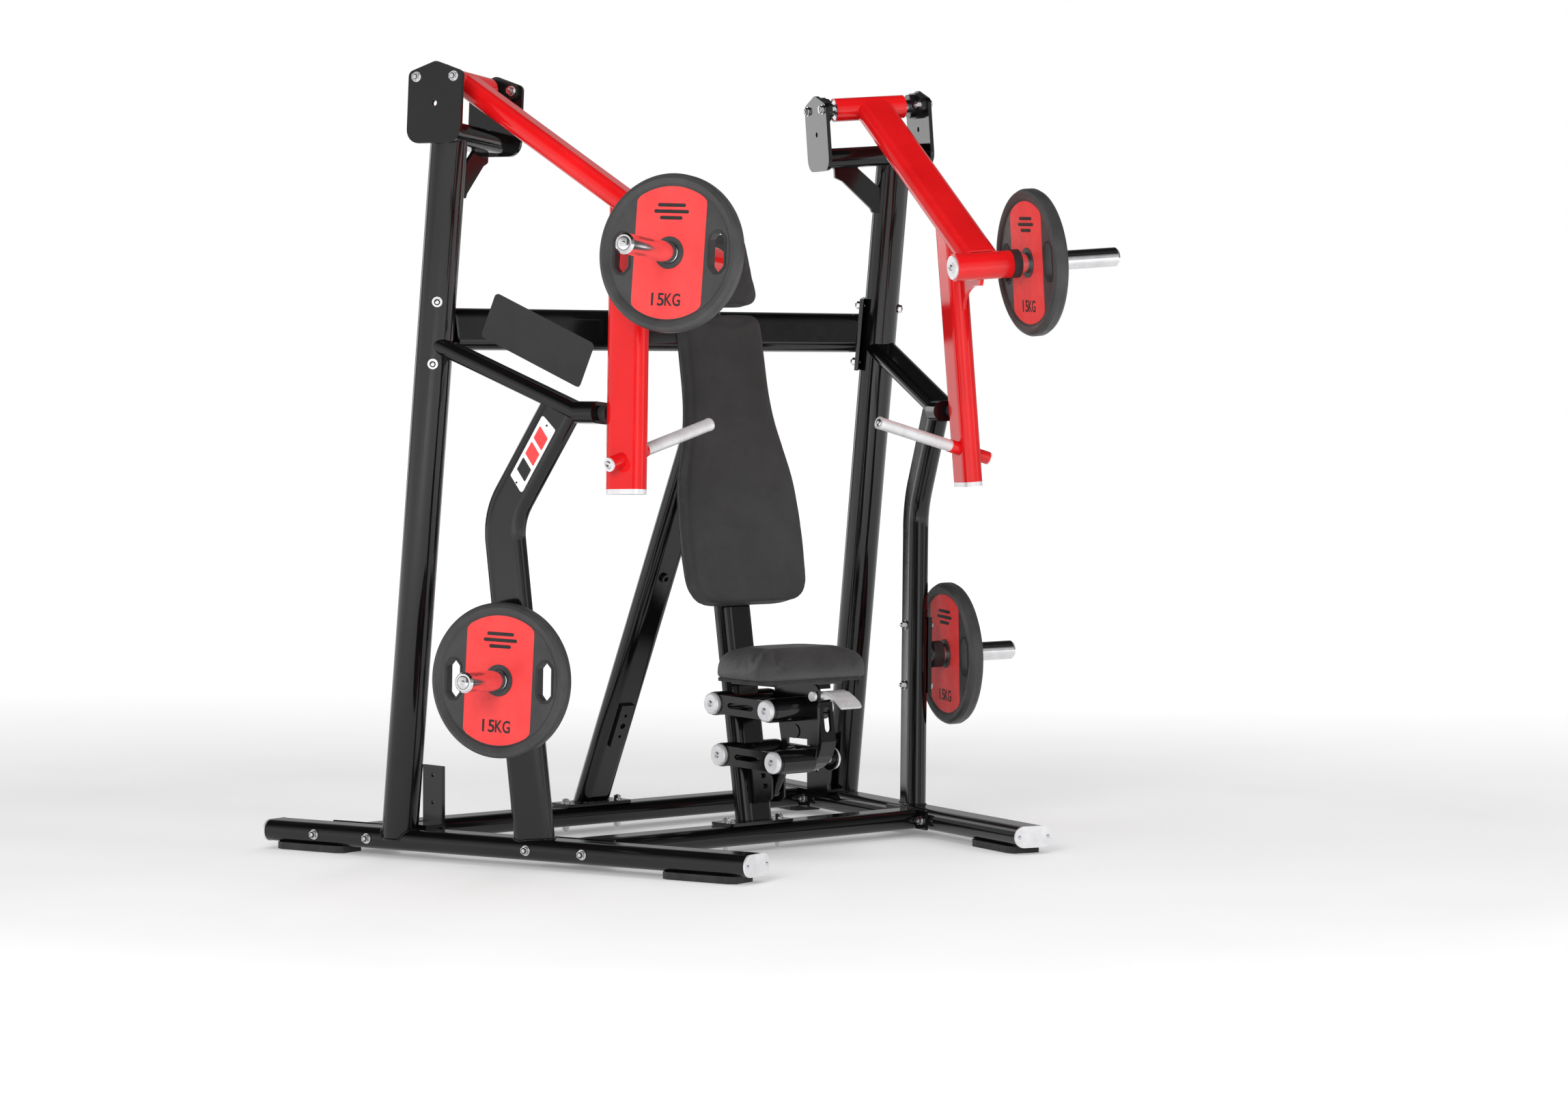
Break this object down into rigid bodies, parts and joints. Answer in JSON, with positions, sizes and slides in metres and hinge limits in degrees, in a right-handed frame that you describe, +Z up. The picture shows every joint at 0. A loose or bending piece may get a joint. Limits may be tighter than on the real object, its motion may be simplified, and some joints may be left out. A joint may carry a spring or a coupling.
{
  "type": "plate-loaded chest press machine",
  "caption": "Seated chest press with independent converging press arms, loading horns with weight plates, padded back and head rest, and a height-adjustable seat.",
  "frame": {"origin": "centre of the footprint on the floor, half way along the depth, in the plane of symmetry of the frame", "axes": "+X to the right-hand side of the machine, +Y to the back, +Z up; the seated person faces -Y"},
  "size_m": [1.8724, 1.4417, 1.9543],
  "materials": {
    "black_frame": "gloss black powder coat",
    "red_arm": "gloss red powder coat",
    "cap": "satin silver",
    "chrome": "polished",
    "grip": "knurled chrome",
    "bearing_steel": "ground",
    "housing": "satin",
    "bolt": "zinc plated",
    "rubber": "matt",
    "weight": "rubber coated iron with a red band",
    "upholstery": "grained vinyl",
    "board": "matt",
    "placard": "satin black sheet"
  },
  "bodies": {
    "frame": {"rail_l": "black_frame", "rail_r": "black_frame", "rail_caps": "cap", "feet": "rubber", "front_cross_rail": "black_frame", "rear_cross_rail": "black_frame", "rear_leg": "black_frame", "spine": "black_frame", "spine_bridge": "black_frame", "upright_l": "black_frame", "upright_r": "black_frame", "side_brackets": "black_frame", "post_l": "black_frame", "post_r": "black_frame", "bumper_arm_l": "black_frame", "bumper_arm_r": "black_frame", "bumpers": "rubber", "placard": "placard", "mid_cross": "black_frame", "pivot_head_l": "black_frame", "pivot_head_r": "black_frame", "bearing_housings": "housing", "base_bolts": "bolt", "frame_bolts": "bolt", "pivot_bolts": "bolt", "horn_low_l": "chrome", "horn_low_r": "chrome", "collars_low": "rubber", "back_board": "board", "back_pad": "upholstery", "head_board": "board", "head_pad": "upholstery", "rear_sleeves": "black_frame", "strut_bracket": "black_frame"},
    "press_arm_l": {"arm_l": "red_arm", "shaft_l": "bearing_steel", "arm_trim_l": "cap", "grip_l": "grip", "horn_up_l": "chrome", "collar_up_l": "rubber"},
    "press_arm_r": {"arm_r": "red_arm", "shaft_r": "bearing_steel", "arm_trim_r": "cap", "grip_r": "grip", "horn_up_r": "chrome", "collar_up_r": "rubber"},
    "upper_plate_l": {"plate_up_l": "weight"},
    "lower_plate_l": {"plate_low_l": "weight"},
    "upper_plate_r": {"plate_up_r": "weight"},
    "lower_plate_r": {"plate_low_r": "weight"},
    "upper_link": {"link_up": "black_frame", "link_pins_up": "cap"},
    "lower_link": {"link_low": "black_frame", "link_pins_low": "cap"},
    "seat": {"carrier": "black_frame", "seat_board": "board", "seat_pad": "upholstery"},
    "adjuster_lever": {"seat_lever": "chrome"},
    "strut_cylinder": {"strut_tube": "black_frame"},
    "strut_piston": {"strut_rod": "chrome"}
  },
  "joints": [
    {"name": "press_arm_r_swing", "type": "hinge", "parent": "frame", "child": "press_arm_r", "pos_m": [0.6887, 0.13343, 1.9053], "axis": [-0.9293, 0.3623, -0.0715], "range_deg": [0, 50]},
    {"name": "upper_plate_r_slide", "type": "slide", "parent": "press_arm_r", "child": "upper_plate_r", "axis": [0.9293, -0.3623, 0.0715], "range_m": [-0.019, 0.2]},
    {"name": "lower_plate_r_slide", "type": "slide", "parent": "frame", "child": "lower_plate_r", "axis": [0.9312, -0.3631, 0.0332], "range_m": [-0.009, 0.15]},
    {"name": "press_arm_l_swing", "type": "hinge", "parent": "frame", "child": "press_arm_l", "pos_m": [-0.6887, 0.13343, 1.9053], "axis": [-0.9293, -0.3623, 0.0715], "range_deg": [0, 50]},
    {"name": "upper_plate_l_slide", "type": "slide", "parent": "press_arm_l", "child": "upper_plate_l", "axis": [-0.9293, -0.3623, 0.0715], "range_m": [-0.019, 0.2]},
    {"name": "lower_plate_l_slide", "type": "slide", "parent": "frame", "child": "lower_plate_l", "axis": [-0.9312, -0.3631, 0.0332], "range_m": [-0.009, 0.15]},
    {"name": "seat_lift", "type": "hinge", "parent": "frame", "child": "upper_link", "pos_m": [0, -0.12087, 0.373], "axis": [-1, 0, 0], "range_deg": [0, 22]},
    {"name": "lower_link_swing", "type": "hinge", "parent": "frame", "child": "lower_link", "pos_m": [0, -0.14687, 0.246], "axis": [-1, 0, 0], "range_deg": [0, 22.5]},
    {"name": "seat_level", "type": "hinge", "parent": "upper_link", "child": "seat", "pos_m": [0, -0.32075, 0.36602], "axis": [-1, 0, 0], "range_deg": [-22.5, 0]},
    {"name": "lever_pull", "type": "hinge", "parent": "seat", "child": "adjuster_lever", "pos_m": [0.03, -0.37387, 0.4], "axis": [-1, 0, 0], "range_deg": [0, 14], "stiffness_Nm_per_rad": 3},
    {"name": "strut_swing", "type": "hinge", "parent": "frame", "child": "strut_cylinder", "pos_m": [0, -0.24187, 0.152], "axis": [-1, 0, 0], "range_deg": [0, 15.2]},
    {"name": "strut_stroke", "type": "slide", "parent": "strut_cylinder", "child": "strut_piston", "axis": [0, -0.5029, 0.8643], "range_m": [0, 0.0669]}
  ],
  "couplings": [
    {"joint": "lower_link_swing", "follows": "seat_lift", "ratio": 1},
    {"joint": "seat_level", "follows": "seat_lift", "ratio": -1},
    {"joint": "strut_swing", "follows": "seat_lift", "ratio": 0.6678},
    {"joint": "strut_stroke", "follows": "seat_lift", "m_per_rad": 0.17175}
  ]
}
